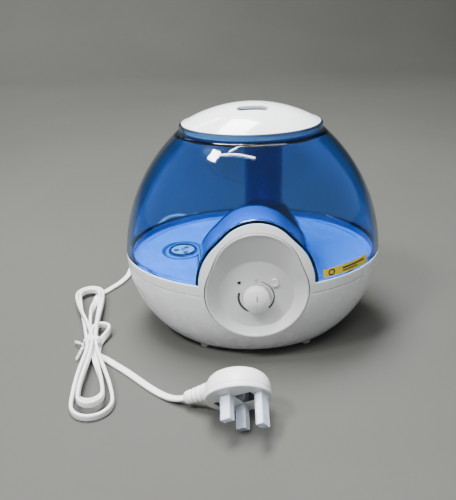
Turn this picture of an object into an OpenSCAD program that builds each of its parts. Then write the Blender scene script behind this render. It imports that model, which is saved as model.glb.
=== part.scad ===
/* [Body] */
// Width of the body at its widest line
body_w = 228; // [226:1:232]
// Depth of the body as a share of its width
depth_ratio = 0.737; // [0.72:0.005:0.75]
// Height of the joint between base and tank
seam_z = 78; // [77:0.5:79]
// Height of the lid's edge above the table
lid_edge_z = 190.5; // [190:0.5:194]
// Rise of the lid from its edge to its crown
lid_rise = 15.8; // [14:0.2:18]
// Half width of the lid's edge
lid_half_w = 58; // [57:0.5:58.5]

/* [Walls] */
// Wall of the water tank
tank_wall = 2.4; // [2:0.1:2.6]
// Wall of the white base shells
base_wall = 2.4; // [2:0.1:2.6]
// Gap between parts that lift apart
part_gap = 0.4; // [0.3:0.05:0.5]

/* [Front panel] */
// Height of the knob's axis
knob_z = 61.5; // [60:0.5:63]
// Radius of the knob
knob_r = 11.2; // [10:0.2:11.4]
// Recess of the panel's flat face behind its rim
dish_depth = 9; // [8:0.5:10]
// Radius of the flat face at the bottom of the dish
dish_r = 31.2; // [30:0.2:32]

/* [Mist path] */
// Outer radius of the mist chimney
chimney_r = 16.3; // [15.5:0.1:16.5]
// Length of the mist slot in the lid
slot_l = 25.5; // [22:0.5:28]
// Width of the mist slot in the lid
slot_w = 7.5; // [6:0.5:9]

/* [Mains lead] */
// Width of the flat lead
lead_w = 6; // [5.6:0.1:6.2]
// Thickness of the flat lead
lead_t = 3.2; // [2.8:0.1:3.4]

/* [Hidden] */

big = 400;
round_fn = 72;

// Profile arcs: the tank's wall and the base's wall are each one arc, [distance from axis, height].
dome_arc = 155.5;
dome_centre = [body_w / 2 - sqrt(pow(dome_arc, 2) - pow(seam_z - 67.5, 2)), 67.5];
bowl_arc = 95;
bowl_centre = [body_w / 2 - sqrt(pow(bowl_arc, 2) - pow(seam_z - 75.5, 2)), 75.5];

// Heights, from the table up.
foot_h = 3;
base_floor_t = 2.6;
belt_z = 68.4;
deck_t = 2;
deck_top = belt_z + deck_t;
tank_floor_z = deck_top + 0.6;
tank_floor_t = 2.2;
tank_seat_z = seam_z + 0.3;
plate_z = lid_edge_z - 8.5;
plate_t = 2;
collar_z = plate_z + 2.4;
collar_r = lid_half_w + 2;
skirt_r = body_w / 2 - base_wall - 0.7;
lid_arc = (pow(lid_half_w, 2) + pow(lid_rise, 2)) / (2 * lid_rise);
lid_centre_z = lid_edge_z + lid_rise - lid_arc;

// Front opening and arch: two circles each, [radius, height of centre], joined by their tangents.
panel_upper = [36, 87];
panel_lower = [42.4, 70];
arch_upper = [33.6, 96.4];
arch_lower = [46.5, 78];
panel_y = -77.2;
dish_y = panel_y + dish_depth;
dish_z = 63.8;
housing_back_y = -41;
housing_wall_y = -43.2;
panel_wall = 2.2;

// Water side of the base: nebulizer well, valve sump and the channel that joins them.
well = [10, -2];
well_r = 24;
well_floor_z = 46;
sump = [-64, 4];
sump_r = 19.5;
trough_floor_z = 58;
trough_wall = 2;
float_pos = [-31, 2];
clip_top_z = 70.2;

// Mist chamber under the tank and the chimney on it.
chimney = [10, -5];
chimney_wall = 1.8;
duct_pos = [6, -7];
duct_r = 24;
hump_top_z = 116;
chimney_foot_z = 115.2;
tunnel_end_y = housing_back_y + part_gap;
fan_pos = [4, 91];
fan_front_y = -53.2;

// Valve in the tank's cap.
neck_r = 13;
neck_bore_r = 11;
neck_end_z = 62.4;
cap_r = 16;
cap_z = 59.6;
cap_floor_t = 1.8;
cap_top_z = 69.8;
valve_travel = 3;
plunger_z = cap_z + cap_floor_t + valve_travel + 1;
post_top_z = plunger_z - 5.8;
bridge_z = 70.6;
valve_hole_r = 4.5;

// Screws: positions are for one corner, mirrored to the other three.
screw_pos = [60, 34];
foot_pos = [45, 45];

// Plug: half the pin spacing, and the place and turn of its face on the table.
pin_half = 11.1;
plug_place = [-20.8, -147.3, 21.2];
plug_turn = [121, -26.5, -15];

// Route of the mains lead, centre line, along the table.
gland_tip = [-46, 92, 18];
rear_route = [[-46, 92, 18], [-47, 100, 15.5], [-48, 112, 10], [-50, 126, 5], [-52, 142, 2.2],
    [-54, 160, 1.7], [-56, 180, 1.7], [-59, 200, 1.7], [-64, 222, 1.7], [-71, 242, 1.7],
    [-82, 256, 1.7], [-94, 260, 1.7], [-107, 254, 1.7], [-116, 238, 1.7], [-121, 218, 1.7],
    [-124, 195, 1.7], [-127, 170, 1.7], [-129, 140, 1.7], [-131, 110, 1.7], [-133, 88, 1.7],
    [-139, 72, 1.7], [-149, 57, 1.7], [-158, 44, 1.7]];
plug_route = [[-140, -58, 1.7], [-132, -65, 1.7], [-122, -74, 1.7], [-111, -84, 1.7],
    [-100, -95, 1.7], [-89, -106, 1.7], [-80, -114, 1.9], [-72, -120, 2.8], [-65, -124, 4.8],
    [-58.3, -126.2, 7.2]];
// Bundle of folded lead: circles of its outline, [x, y, radius], and its height.
hank_top = [-165, 38, 14.8];
hank_waist = [-146, -48, 8];
hank_side = [-142.5, -27, 9.8];
hank_foot = [-132.3, -124.8, 17.8];
hank_h = 12.5;

// ---------- shared shapes ----------

// Squashes a round shape into the body's oval plan.
module oval() {
    scale([1, depth_ratio, 1]) children();
}

// The same for a whole round shell of outer radius r, kept as one smooth skin.
module oval_skin(r) {
    resize([0, 2 * r * depth_ratio, 0]) children();
}

// Half profile of a solid bounded by an arc, between two heights.
module arc_profile(centre, radius, z0, z1) {
    intersection() {
        translate(centre) circle(radius, $fn = 96);
        translate([0, z0]) square([big, z1 - z0]);
    }
}

module dome_solid(inset, z0, z1) {
    rotate_extrude($fn = round_fn) arc_profile(dome_centre, dome_arc - inset, z0, z1);
}

module bowl_solid(inset, z0, z1) {
    rotate_extrude($fn = round_fn) arc_profile(bowl_centre, bowl_arc - inset, z0, z1);
}

// The whole body's outer form, base and tank together, between two heights.
module body_solid(inset, z0, z1) {
    rotate_extrude($fn = round_fn) {
        arc_profile(bowl_centre, bowl_arc - inset, z0, seam_z);
        arc_profile(dome_centre, dome_arc - inset, seam_z, z1);
    }
}

// Flat outline of two circles, [radius, height], joined by straight tangents.
module egg(upper, lower, grow = 0) {
    turn = asin((lower[0] - upper[0]) / (upper[1] - lower[1]));
    a = upper[0] + grow;
    b = lower[0] + grow;
    translate([0, upper[1]]) circle(a, $fn = round_fn);
    translate([0, lower[1]]) circle(b, $fn = round_fn);
    polygon([[b * cos(turn), lower[1] + b * sin(turn)], [a * cos(turn), upper[1] + a * sin(turn)],
        [-a * cos(turn), upper[1] + a * sin(turn)], [-b * cos(turn), lower[1] + b * sin(turn)]]);
}

// Turns a flat outline into a bar that runs from y0 back to y1.
module bar_along_y(y0, y1) {
    translate([0, y1, 0]) rotate([90, 0, 0]) linear_extrude(y1 - y0) children();
}

module arch_bar(grow, y0, y1) {
    bar_along_y(y0, y1) egg(arch_upper, arch_lower, grow);
}

module panel_bar(grow, y0, y1) {
    bar_along_y(y0, y1) egg(panel_upper, panel_lower, grow);
}

// A cylinder whose axis runs along Y, from y0 back to y1.
module rod_along_y(x, z, r, y0, y1) {
    translate([x, y1, z]) rotate([90, 0, 0]) cylinder(h = y1 - y0, r = r, $fn = 64);
}

module at_corners(p) {
    for (sx = [-1, 1]) for (sy = [-1, 1]) translate([sx * p[0], sy * p[1], 0]) children();
}

module tube(r_out, r_in, z0, z1) {
    translate([0, 0, z0]) difference() {
        cylinder(h = z1 - z0, r = r_out, $fn = 72);
        translate([0, 0, -1]) cylinder(h = z1 - z0 + 2, r = r_in, $fn = 72);
    }
}

// ---------- base ----------

module base_lower_shell() {
    color("whitesmoke") difference() {
        union() {
            oval() difference() {
                bowl_solid(0, foot_h, belt_z);
                bowl_solid(base_wall, foot_h + base_floor_t, belt_z + 1);
                panel_bar(0.2, -big, -40);
            }
            at_corners(screw_pos) translate([0, 0, foot_h]) cylinder(h = 34, r = 5, $fn = 48);
        }
        at_corners(screw_pos) {
            translate([0, 0, foot_h - 1]) cylinder(h = 40, r = 1.9, $fn = 32);
            translate([0, 0, foot_h - 1]) cylinder(h = 24, r = 3.6, $fn = 32);
        }
        for (i = [-3:3]) translate([20 + i * 8, 0, foot_h]) cube([3.4, 34, 12], center = true);
        rear_exit();
    }
}

// Hole in the rear wall for the lead's gland.
module rear_exit() {
    translate([gland_tip[0], 40, 21]) rotate([-84, 0, 0]) cylinder(h = 50, r = 4.6, $fn = 48);
}

module trough_outer() {
    translate([well[0], well[1], well_floor_z - trough_wall])
        cylinder(h = deck_top - well_floor_z + trough_wall, r = well_r + trough_wall, $fn = 96);
    translate([sump[0], sump[1], trough_floor_z - trough_wall])
        cylinder(h = deck_top - trough_floor_z + trough_wall, r = sump_r + trough_wall, $fn = 96);
    translate([sump[0], -12, trough_floor_z - trough_wall])
        cube([well[0] - sump[0], 28, deck_top - trough_floor_z + trough_wall]);
}

module trough_inner() {
    translate([well[0], well[1], well_floor_z]) cylinder(h = 40, r = well_r, $fn = 96);
    translate([sump[0], sump[1], trough_floor_z]) cylinder(h = 40, r = sump_r, $fn = 96);
    translate([sump[0], -12 + trough_wall, trough_floor_z]) cube([well[0] - sump[0], 24, 40]);
}

module base_upper_shell() {
    back = housing_back_y / depth_ratio;
    color("whitesmoke") difference() {
        union() {
            oval() difference() {
                body_solid(0, belt_z, 140);
                difference() {
                    translate([0, 0, seam_z]) cylinder(h = 80, r = 150, $fn = 8);
                    arch_bar(0, -big, back);
                }
                difference() {
                    bowl_solid(base_wall, deck_top, seam_z + 1);
                    arch_bar(0, -big, back);
                }
                intersection() {
                    body_solid(base_wall, deck_top, 141);
                    arch_bar(-base_wall, -big, housing_wall_y / depth_ratio);
                }
                panel_bar(0.2, -big, -80);
            }
            trough_outer();
            at_corners(screw_pos) translate([0, 0, 37.2]) cylinder(h = belt_z - 37, r = 4, $fn = 48);
        }
        difference() {
            trough_inner();
            translate([float_pos[0], float_pos[1], 50]) cylinder(h = clip_top_z - 50, r = 2.5, $fn = 32);
            translate([sump[0], sump[1], 50]) cylinder(h = post_top_z - 50, r = 2.2, $fn = 32);
        }
        translate([0, -55.5, belt_z]) cube([80, 21, 12], center = true);
        translate([well[0], well[1], well_floor_z - 5]) cylinder(h = 10, r = 8.4, $fn = 48);
        rod_along_y(fan_pos[0], fan_pos[1], 18, housing_wall_y - 4, housing_back_y + 10);
        at_corners(screw_pos) translate([0, 0, 36]) cylinder(h = 22, r = 1.4, $fn = 24);
    }
}

module rubber_feet() {
    color("gainsboro") at_corners(foot_pos) rotate_extrude($fn = 48)
        polygon([[0, 0], [3.6, 0], [4.4, 0.8], [4.4, foot_h], [0, foot_h]]);
}

module base_screws() {
    color("silver") at_corners(screw_pos) {
        translate([0, 0, foot_h + 20.5]) cylinder(h = 2.4, r = 3.2, $fn = 32);
        translate([0, 0, foot_h + 22]) cylinder(h = 26, r = 1.4, $fn = 24);
    }
}

// ---------- front panel and controls ----------

module dish_cavity() {
    hull() {
        panel_bar(-1.6, panel_y - 1, panel_y);
        rod_along_y(0, dish_z, dish_r, dish_y - 0.1, dish_y);
    }
}

module front_panel() {
    color("gainsboro") difference() {
        union() {
            hull() {
                panel_bar(-0.3, panel_y, panel_y + 2);
                rod_along_y(0, dish_z, dish_r + 1.6, dish_y + panel_wall - 0.1, dish_y + panel_wall);
            }
            panel_bar(-0.3, panel_y, panel_y + 5);
        }
        dish_cavity();
        rod_along_y(0, knob_z, knob_r + 0.6, panel_y, dish_y + 0.9);
        rod_along_y(0, knob_z, 3.6, dish_y - 1, dish_y + 6);
        rod_along_y(-14, 75.5, 1.6, dish_y - 1, dish_y + 6);
        rod_along_y(14.8, 75, 3.7, dish_y - 1, dish_y + 6);
    }
}

module control_knob() {
    color("white") translate([0, dish_y + 0.5, knob_z]) rotate([90, 0, 0]) difference() {
        rotate_extrude($fn = 96) intersection() {
            translate([0, -9.5]) circle(20.5, $fn = 160);
            square([knob_r, 20]);
        }
        translate([0, 0, -1]) cylinder(h = 8, r = 3, $fn = 48);
    }
}

module potentiometer() {
    color("dimgray") {
        translate([-8, dish_y + 4.4, knob_z - 9]) cube([16, 5, 18]);
        difference() {
            rod_along_y(0, knob_z, 3.4, dish_y + 1.2, dish_y + 4.4);
            rod_along_y(0, knob_z, 2.05, dish_y, dish_y + 5);
        }
    }
}

module pot_shaft() {
    color("silver") {
        rod_along_y(0, knob_z, 2, dish_y + 0.5, dish_y + 4.2);
        rod_along_y(0, knob_z, 3, dish_y - 6, dish_y + 0.5);
    }
}

module power_led() {
    color("dimgray") {
        rod_along_y(-14, 75.5, 1.5, dish_y - 0.4, dish_y + 4.5);
        rod_along_y(-14, 75.5, 2.6, dish_y + 4.5, dish_y + 9.4);
    }
}

module light_button() {
    color("whitesmoke") {
        rod_along_y(14.8, 75, 3.4, dish_y - 1.6, dish_y + 3);
        rod_along_y(14.8, 75, 4.6, dish_y + 3.8, dish_y + 4.6);
        rod_along_y(14.8, 75, 1.8, dish_y + 2.9, dish_y + 5.2);
    }
}

module button_switch() {
    color("dimgray") {
        translate([11.8, dish_y + 7.4, 72]) cube([6, 2, 6]);
        rod_along_y(14.8, 75, 1.6, dish_y + 6.6, dish_y + 7.4);
    }
}

module control_board() {
    color("seagreen") translate([-30, dish_y + 9.4, 42]) cube([60, 1.6, 44]);
}

// ---------- fan ----------

module fan_housing() {
    color("dimgray") difference() {
        translate([fan_pos[0] - 20, fan_front_y, fan_pos[1] - 20])
            cube([40, housing_wall_y - fan_front_y, 40]);
        difference() {
            rod_along_y(fan_pos[0], fan_pos[1], 18.6, fan_front_y - 1, housing_wall_y + 1);
            rod_along_y(fan_pos[0], fan_pos[1], 8, housing_wall_y - 3, housing_wall_y + 1);
            translate([fan_pos[0] - 19, housing_wall_y - 1.6, fan_pos[1] - 1]) cube([38, 3, 2]);
            translate([fan_pos[0] - 1, housing_wall_y - 1.6, fan_pos[1] - 19]) cube([2, 3, 38]);
        }
        rod_along_y(fan_pos[0], fan_pos[1], 1.55, fan_front_y, housing_wall_y - 0.6);
        for (sx = [-16, 16]) for (sz = [-16, 16])
            rod_along_y(fan_pos[0] + sx, fan_pos[1] + sz, 1.6, fan_front_y - 1, housing_wall_y + 1);
    }
}

module fan_rotor() {
    color("black") {
        rod_along_y(fan_pos[0], fan_pos[1], 8.4, fan_front_y + 0.4, housing_wall_y - 3.6);
        rod_along_y(fan_pos[0], fan_pos[1], 1.5, housing_wall_y - 4, housing_wall_y - 1);
        for (i = [0:6]) translate([fan_pos[0], fan_front_y + 3.4, fan_pos[1]]) rotate([0, i * 360 / 7, 0])
            translate([12.8, 0, 0]) rotate([40, 0, 0]) cube([10, 7.4, 1.2], center = true);
    }
}

// ---------- nebulizer ----------

module transducer_disc() {
    color("goldenrod") translate([well[0], well[1], 42.2]) cylinder(h = 1, r = 10, $fn = 64);
}

module transducer_seal() {
    color("darkgray") translate([well[0], well[1], 0]) {
        tube(12, 8.2, 43.2, 44);
        tube(12, 10, 42.2, 43.2);
    }
}

module transducer_clamp() {
    color("silver") translate([well[0], well[1], 0]) difference() {
        translate([0, 0, 40.6]) cylinder(h = 1.6, r = 18, $fn = 64);
        translate([0, 0, 40]) cylinder(h = 3, r = 8, $fn = 48);
        for (i = [0:2]) rotate(i * 120) translate([15, 0, 40]) cylinder(h = 3, r = 1.3, $fn = 24);
    }
}

module clamp_screws() {
    color("gray") translate([well[0], well[1], 0]) for (i = [0:2]) rotate(i * 120) translate([15, 0, 0]) {
        translate([0, 0, 39]) cylinder(h = 1.6, r = 2.2, $fn = 32);
        translate([0, 0, 40]) cylinder(h = 4, r = 1.2, $fn = 24);
    }
}

module driver_board() {
    color("seagreen") translate([-26, -24, 26]) cube([60, 44, 1.6]);
}

module heat_sink() {
    color("lightgray") translate([-22, -18, 27.6]) for (i = [0:4]) {
        translate([0, i * 4, 0]) cube([16, 1.4, 9]);
        cube([16, 17.4, 1.4]);
    }
}

module power_board() {
    color("seagreen") translate([-74, -20, 12]) cube([42, 44, 1.6]);
}

module transformer() {
    color("darkslategray") translate([-66, -10, 13.6]) {
        cube([22, 18, 6]);
        translate([3, 2, 6]) cube([16, 14, 10]);
        translate([0, 0, 16]) cube([22, 18, 3]);
    }
}

// ---------- water level float ----------

module level_float() {
    color("orange") translate([float_pos[0], float_pos[1], 0])
        tube(8, 2.8, trough_floor_z + 0.2, trough_floor_z + 5.2);
}

module float_clip() {
    color("white") translate([float_pos[0], float_pos[1], 0])
        tube(4, 2.5, clip_top_z - 1.4, clip_top_z);
}

module reed_switch() {
    color("palegreen") translate([float_pos[0] - 8, float_pos[1], trough_floor_z - trough_wall - 1.6])
        rotate([0, 90, 0]) cylinder(h = 16, r = 1.5, $fn = 32);
}

// ---------- water tank ----------

// Half profile of the tank: wall, skirt that drops into the base, top plate and the lid's collar.
module tank_profile() {
    difference() {
        arc_profile(dome_centre, dome_arc, tank_seat_z, collar_z);
        arc_profile(dome_centre, dome_arc - tank_wall, tank_seat_z - 1, collar_z + 1);
    }
    translate([skirt_r - tank_wall, tank_floor_z + tank_floor_t])
        square([tank_wall, tank_seat_z - tank_floor_z - tank_floor_t + 2]);
    translate([skirt_r - tank_wall, tank_seat_z]) square([4.4, 2]);
    translate([0, plate_z]) square([lid_half_w + 1, plate_t]);
    translate([collar_r - 2.4, plate_z]) square([2.4, lid_edge_z - plate_z - 0.3]);
}

module tank_dome() {
    seat_r = dome_centre[0] + sqrt(pow(dome_arc, 2) - pow(tank_seat_z - dome_centre[1], 2));
    color("royalblue") difference() {
        oval_skin(seat_r) rotate_extrude($fn = round_fn) tank_profile();
        oval() arch_bar(part_gap + tank_wall, -big, -60);
        translate([chimney[0], chimney[1], plate_z - 1]) cylinder(h = 4, r = chimney_r, $fn = 96);
    }
}

// Mist chamber: blends from the housing's arch back to the chimney's foot.
module hump(inset, bottom) {
    hull() {
        intersection() {
            arch_bar(part_gap + tank_wall - 0.4 - inset, tunnel_end_y - 1, tunnel_end_y + tank_wall - inset);
            translate([-60, -50, bottom]) cube([120, 60, 100]);
        }
        translate([8, 2, bottom]) cylinder(h = 95 - bottom, r = 38 - inset, $fn = 48);
        translate([chimney[0], chimney[1] + 1, bottom])
            cylinder(h = hump_top_z - inset - bottom, r = 23 - inset, $fn = 48);
    }
}

module tank_floor() {
    color("deepskyblue") difference() {
        union() {
            translate([0, 0, tank_floor_z]) oval() cylinder(h = tank_floor_t, r = skirt_r, $fn = round_fn);
            intersection() {
                oval() dome_solid(0, tank_floor_z, 140);
                arch_bar(part_gap + tank_wall, -big, tunnel_end_y + 1);
            }
            hump(0, tank_floor_z);
            translate([sump[0], sump[1], neck_end_z]) cylinder(h = 9, r = neck_r, $fn = 72);
        }
        hump(tank_wall, tank_floor_z - 1);
        arch_bar(part_gap, -big, tunnel_end_y);
        translate([sump[0], sump[1], 60]) cylinder(h = 20, r = neck_bore_r, $fn = 72);
        translate([chimney[0], chimney[1], 100]) cylinder(h = 60, r = chimney_r - chimney_wall, $fn = 96);
        translate([chimney[0], chimney[1], chimney_foot_z]) cylinder(h = 40, r = chimney_r, $fn = 96);
    }
}

module mist_chimney() {
    color("mediumblue") translate([chimney[0], chimney[1], 0])
        tube(chimney_r, chimney_r - chimney_wall, chimney_foot_z, plate_z + plate_t + 3);
}

module tank_cap() {
    color("white") translate([sump[0], sump[1], 0]) {
        difference() {
            translate([0, 0, cap_z]) cylinder(h = cap_top_z - cap_z, r = cap_r, $fn = 72);
            translate([0, 0, cap_z + cap_floor_t]) cylinder(h = 20, r = neck_r + 0.3, $fn = 72);
            translate([0, 0, cap_z - 1]) cylinder(h = 5, r = valve_hole_r, $fn = 48);
        }
        for (i = [0:2]) rotate(i * 120) translate([8.4, -1.2, cap_z + cap_floor_t - 0.2])
            cube([1.8, 2.4, bridge_z - cap_z - cap_floor_t + 0.3]);
        difference() {
            translate([0, 0, bridge_z]) cylinder(h = 1.4, r = 10.4, $fn = 72);
            translate([0, 0, bridge_z - 1]) cylinder(h = 4, r = 1.6, $fn = 32);
            for (i = [0:2]) rotate(60 + i * 120) translate([6, 0, bridge_z - 1])
                cylinder(h = 4, r = 2.6, $fn = 32);
        }
    }
}

module cap_gasket() {
    color("darkgray") translate([sump[0], sump[1], 0])
        tube(neck_r, neck_bore_r + 0.2, cap_z + cap_floor_t, neck_end_z - 0.3);
}

module valve_plunger() {
    color("white") translate([sump[0], sump[1], 0]) {
        translate([0, 0, plunger_z]) cylinder(h = 1.4, r = 7, $fn = 48);
        translate([0, 0, plunger_z - 5.5]) cylinder(h = 6, r = 1.5, $fn = 32);
        translate([0, 0, plunger_z + 1]) cylinder(h = 8, r = 1.5, $fn = 32);
    }
}

module valve_seal() {
    color("darkgray") translate([sump[0], sump[1], 0]) tube(6.8, 1.5, plunger_z - 1, plunger_z);
}

// Round wire wound into a spring about the Z axis.
module coil(r, wire, z0, z1, turns) {
    per_turn = 16;
    sides = 6;
    steps = turns * per_turn;
    pts = [for (i = [0:steps]) for (j = [0:sides - 1])
        let (a = i * 360 / per_turn, b = j * 360 / sides, q = r + wire * cos(b))
        [q * cos(a), q * sin(a), z0 + wire + (z1 - z0 - 2 * wire) * i / steps + wire * sin(b)]];
    faces = concat(
        [[for (j = [0:sides - 1]) j]],
        [[for (j = [0:sides - 1]) steps * sides + sides - 1 - j]],
        [for (i = [0:steps - 1]) for (j = [0:sides - 1])
            let (n = (j + 1) % sides)
            [i * sides + j, (i + 1) * sides + j, (i + 1) * sides + n, i * sides + n]]);
    polyhedron(pts, faces, convexity = 6);
}

module valve_spring() {
    color("silver") translate([sump[0], sump[1], 0])
        coil(4, 0.35, plunger_z + 1.45, bridge_z - 0.05, 4);
}

// ---------- lid ----------

// Lens-shaped solid under the lid's crown, from height z0 up.
module lid_lens(inset, r, z0) {
    rotate_extrude($fn = round_fn) intersection() {
        translate([0, lid_centre_z]) circle(lid_arc - inset, $fn = 150);
        translate([0, z0]) square([r, 60]);
    }
}

// Crown, and the duct under it that hangs over the chimney's mouth.
module lid() {
    duct_z = plate_z + plate_t + 0.6;
    color("white") difference() {
        oval_skin(lid_half_w) {
            difference() {
                lid_lens(0, lid_half_w, lid_edge_z);
                lid_lens(2.2, lid_half_w - 3.2, lid_edge_z - 1);
            }
            intersection() {
                lid_lens(1, lid_half_w - 1, duct_z);
                translate([duct_pos[0], duct_pos[1] / depth_ratio, 0]) scale([1, 1 / depth_ratio, 1])
                    tube(duct_r, duct_r - 1.6, duct_z, lid_edge_z + lid_rise);
            }
            rotate_extrude($fn = round_fn)
                translate([lid_half_w - 3.6, lid_edge_z - 5]) square([2, 6]);
        }
        slot_prism(0);
    }
}

// The mist slot's outline, as a tall bar.
module slot_prism(grow) {
    half = slot_l / 2 - slot_w / 2;
    for (s = [-1, 1]) translate([1 + s * half, -13, lid_edge_z])
        cylinder(h = 30, r = slot_w / 2 + grow, $fn = 48);
    translate([1 - half, -13 - slot_w / 2 - grow, lid_edge_z]) cube([2 * half, slot_w + 2 * grow, 30]);
}

// ---------- mains lead ----------

module cord_gland() {
    color("whitesmoke") hull() {
        translate([gland_tip[0], 56, 21]) rotate([-84, 0, 0]) cylinder(h = 4, r = 4.4, $fn = 32);
        translate(gland_tip) rotate([-84, 0, 0]) translate([0, 0, -1]) cylinder(h = 1, r = 3.6, $fn = 32);
    }
}

function unit(v) = v / norm(v);
function along(route, i) = unit(route[min(i + 1, len(route) - 1)] - route[max(i - 1, 0)]);

// Flat lead swept along a route, its broad side kept level.
module flat_lead(route) {
    sides = 8;
    count = len(route);
    pts = [for (i = [0:count - 1]) for (j = [0:sides - 1])
        let (dir = along(route, i), side = unit(cross(dir, [0, 0, 1])), up = cross(side, dir),
            a = j * 360 / sides + 22.5, w = lead_w / 2 / cos(22.5), t = lead_t / 2 / cos(22.5))
        route[i] + side * w * cos(a) + up * t * sin(a)];
    faces = concat(
        [[for (j = [sides - 1:-1:0]) j]],
        [[for (j = [0:sides - 1]) (count - 1) * sides + j]],
        [for (i = [0:count - 2]) for (j = [0:sides - 1])
            let (n = (j + 1) % sides)
            [i * sides + j, i * sides + n, (i + 1) * sides + n, (i + 1) * sides + j]]);
    polyhedron(pts, faces, convexity = 10);
}

module lead_from_base() {
    color("white") flat_lead(rear_route);
}

module lead_to_plug() {
    color("white") flat_lead(plug_route);
}

module spot(c) {
    translate([c[0], c[1]]) circle(c[2], $fn = 32);
}

module lead_hank() {
    color("white") linear_extrude(hank_h) {
        hull() {
            spot(hank_top);
            spot(hank_waist);
        }
        hull() {
            spot(hank_waist);
            spot(hank_side);
        }
        hull() {
            spot(hank_waist);
            spot(hank_foot);
        }
    }
}

module hank_tie() {
    color("white") translate([hank_waist[0], hank_waist[1], 0]) rotate(-11)
        difference() {
            translate([-9.5, -2, 0]) cube([19, 4, hank_h + 1.4]);
            translate([-8.4, -3, -1]) cube([16.8, 6, hank_h + 1]);
        }
}

// ---------- plug ----------

// Places a shape drawn in the plug's own frame: +X to the earth pin, +Z out of the pin face.
module at_plug() {
    translate(plug_place) rotate(plug_turn) children();
}

module plug_body() {
    color("white") at_plug() difference() {
        hull() {
            translate([3, 0, -3]) scale([1, 0.93, 1]) cylinder(h = 3, r = 25.5, $fn = 48);
            translate([3, 0, -14]) scale([1, 0.93, 1]) cylinder(h = 3, r = 24, $fn = 48);
            translate([2, 0, -20]) scale([1, 0.9, 1]) cylinder(h = 2, r = 17, $fn = 48);
        }
        translate([3.6, -7, -2.4]) cube([13.6, 14, 3]);
    }
}

module plug_grip() {
    color("white") at_plug() translate([-21, 0, -12]) rotate([0, -90, 0])
        cylinder(h = 22, r1 = 7.6, r2 = 5, $fn = 48);
}

module earth_pin() {
    color("silver") at_plug() translate([22.2 - 2, -4, -0.1]) cube([4, 8, 22.8]);
}

module power_pins() {
    color("silver") at_plug() for (s = [-1, 1])
        translate([-3.175, s * pin_half - 2, -0.1]) cube([6.35, 4, 17.8]);
}

module pin_sleeves() {
    color("lightblue") at_plug() {
        for (s = [-1, 1]) difference() {
            translate([-4.1, s * pin_half - 2.9, 0.4]) cube([8.2, 5.8, 18.2]);
            translate([-3.225, s * pin_half - 2.05, 0]) cube([6.45, 4.1, 17.7]);
        }
        difference() {
            translate([22.2 - 2.9, -4.9, 0.4]) cube([5.8, 9.8, 23.2]);
            translate([22.2 - 2.05, -4.05, 0]) cube([4.1, 8.1, 22.7]);
        }
    }
}

module fuse_carrier() {
    color("black") at_plug() translate([3.9, -6.7, -2.4]) cube([13, 13.4, 2.7]);
}

base_lower_shell();
base_upper_shell();
rubber_feet();
base_screws();
front_panel();
control_knob();
potentiometer();
pot_shaft();
power_led();
light_button();
button_switch();
control_board();
fan_housing();
fan_rotor();
transducer_disc();
transducer_seal();
transducer_clamp();
clamp_screws();
driver_board();
heat_sink();
power_board();
transformer();
level_float();
float_clip();
reed_switch();
tank_dome();
tank_floor();
mist_chimney();
tank_cap();
cap_gasket();
valve_plunger();
valve_seal();
valve_spring();
lid();
cord_gland();
lead_from_base();
lead_hank();
hank_tie();
lead_to_plug();
plug_body();
plug_grip();
earth_pin();
power_pins();
pin_sleeves();
fuse_carrier();
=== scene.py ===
"""Looks of the cool mist humidifier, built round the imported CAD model.

Shapes are in millimetres, in the CAD model's frame, and MM turns them into metres. The camera, the lamps
and the cord's exit are in metres.
"""

import math

import bmesh
import bpy
from mathutils import Matrix, Vector


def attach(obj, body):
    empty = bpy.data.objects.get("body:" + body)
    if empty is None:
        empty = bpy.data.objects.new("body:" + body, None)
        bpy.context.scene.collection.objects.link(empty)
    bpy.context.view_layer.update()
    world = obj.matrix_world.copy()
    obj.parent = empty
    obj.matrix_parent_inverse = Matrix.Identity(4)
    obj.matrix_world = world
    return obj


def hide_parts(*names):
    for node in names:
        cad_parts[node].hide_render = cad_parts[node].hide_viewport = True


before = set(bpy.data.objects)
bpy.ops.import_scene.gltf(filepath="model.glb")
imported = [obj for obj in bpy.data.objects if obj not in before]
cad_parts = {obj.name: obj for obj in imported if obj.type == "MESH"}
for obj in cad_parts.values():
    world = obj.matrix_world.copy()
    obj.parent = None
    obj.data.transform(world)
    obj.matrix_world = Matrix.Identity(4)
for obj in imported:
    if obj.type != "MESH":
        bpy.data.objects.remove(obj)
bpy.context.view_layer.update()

MM = 0.001
ROUND = 256          # steps round the oval body
HUB_R = 0.4          # profiles of full rounds end this close to the axis
FRONT_Y = -200.0     # cutters start here, in front of everything
DEPTH = 0.737        # the body's depth as a share of its width

# Heights, arcs and outlines of the body, as the CAD part has them.
BODY_R = 114.0
SEAM_Z = 78.0
BELT_Z = 68.4
LID_Z = 190.5
LID_RISE = 15.8
LID_R = 58.0
DOME_ARC, DOME_ARC_Z = 155.5, 67.5
BOWL_ARC, BOWL_ARC_Z = 95.0, 75.5
FLOOR_Z = 71.0
PLATE_Z = 182.0
WALL = 2.4
BELT_GAP = 0.12      # half the line between the two shells
HOOD_TOP = 141       # above the highest point of the arch
SKIRT_R = 110.9
# Outlines of two circles and their tangents: (radius, height) of the upper and of the lower circle.
PANEL = ((36.0, 87.0), (42.4, 70.0))
ARCH = ((33.6, 96.4), (46.5, 78.0))
PANEL_Y, DISH_Y = -77.2, -68.2
DISH_Z, DISH_R = 63.8, 31.2
KNOB_Z, KNOB_R = 61.5, 11.2
PANEL_GAP, PANEL_BACK = 0.35, -58
HOUSING_Y = -41.0
TUNNEL_Y = -40.6
CHIMNEY, CHIMNEY_R = (10.0, -5.0), 16.3
SUMP = (-64.0, 4.0)
SLOT = (25.5, 7.5, 1.0, -13.0)      # length, width and middle of the mist slot
WELL = (10.0, -2.0)
DUCT = (6.0, -7.0)
LED, BUTTON = (-14.0, 75.5), (14.8, 75.0)      # x and height on the panel
MARK_R = 14.7        # middle of the printed arcs
UP, BACK = (0, 0, 1), (0, 1, 0)

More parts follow.
